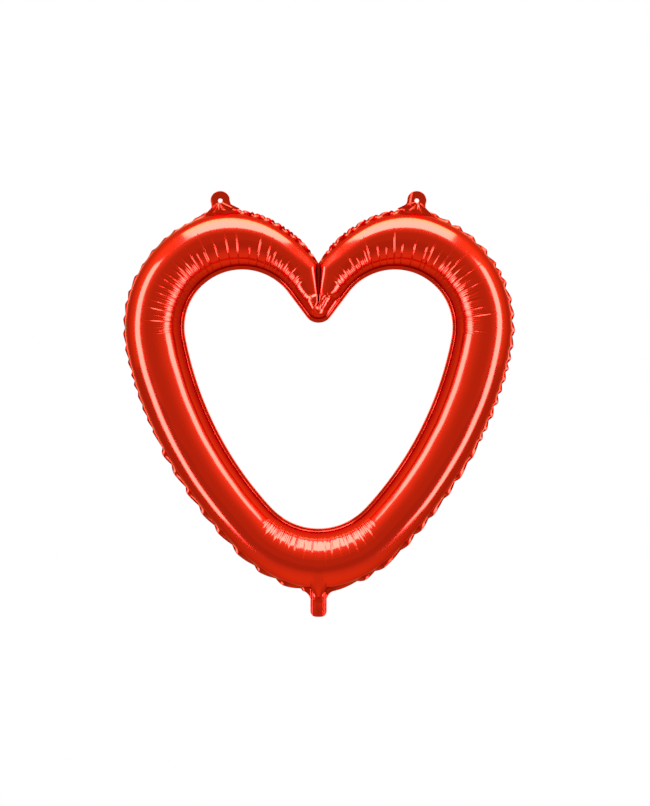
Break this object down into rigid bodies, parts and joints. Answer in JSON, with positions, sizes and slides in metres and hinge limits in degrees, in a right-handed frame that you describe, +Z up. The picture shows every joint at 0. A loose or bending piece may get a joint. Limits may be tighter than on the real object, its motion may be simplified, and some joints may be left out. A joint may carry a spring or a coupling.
{
  "type": "heart-shaped foil balloon frame",
  "caption": "Inflated foil balloon in the shape of an open heart frame: a round air tube about a heart window, with flat hanging tabs on the lobes and a filling neck at the point.",
  "frame": {"origin": "middle of the overall width, depth and height, hanging tabs and neck included", "axes": "+X to the right as seen from the front, +Y towards the back, +Z up, along the heart's mirror line; the front faces -Y"},
  "size_m": [0.65, 0.093, 0.7027],
  "materials": {
    "foil": "metallised red film, glossy, blown tight",
    "foil_seal": "metallised red film, heat-sealed flat, crinkled",
    "valve_film": "milky clear film, limp"
  },
  "bodies": {
    "balloon": {"front_film": "foil", "back_film": "foil", "outer_seam": "foil_seal", "inner_seam": "foil_seal", "valve_front_film": "valve_film", "valve_back_film": "valve_film", "valve_side_welds": "valve_film", "valve_root_welds": "valve_film"},
    "left_tab": {"left_tab": "foil_seal"},
    "right_tab": {"right_tab": "foil_seal"},
    "tail": {"tail_front_film": "foil", "tail_back_film": "foil", "tail_side_welds": "foil_seal"}
  },
  "joints": [
    {"name": "left_tab_fold", "type": "hinge", "parent": "balloon", "child": "left_tab", "pos_m": [-0.16216, 0, 0.3228], "axis": [0.9835, 0, 0.1809], "range_deg": [-90, 90], "stiffness_Nm_per_rad": 0.0002},
    {"name": "right_tab_fold", "type": "hinge", "parent": "balloon", "child": "right_tab", "pos_m": [0.16216, 0, 0.3228], "axis": [0.9835, 0, -0.1809], "range_deg": [-90, 90], "stiffness_Nm_per_rad": 0.0002},
    {"name": "neck_fold", "type": "hinge", "parent": "balloon", "child": "tail", "pos_m": [0, 0, -0.3247], "axis": [1, 0, 0], "range_deg": [-90, 90], "stiffness_Nm_per_rad": 0.0002}
  ]
}
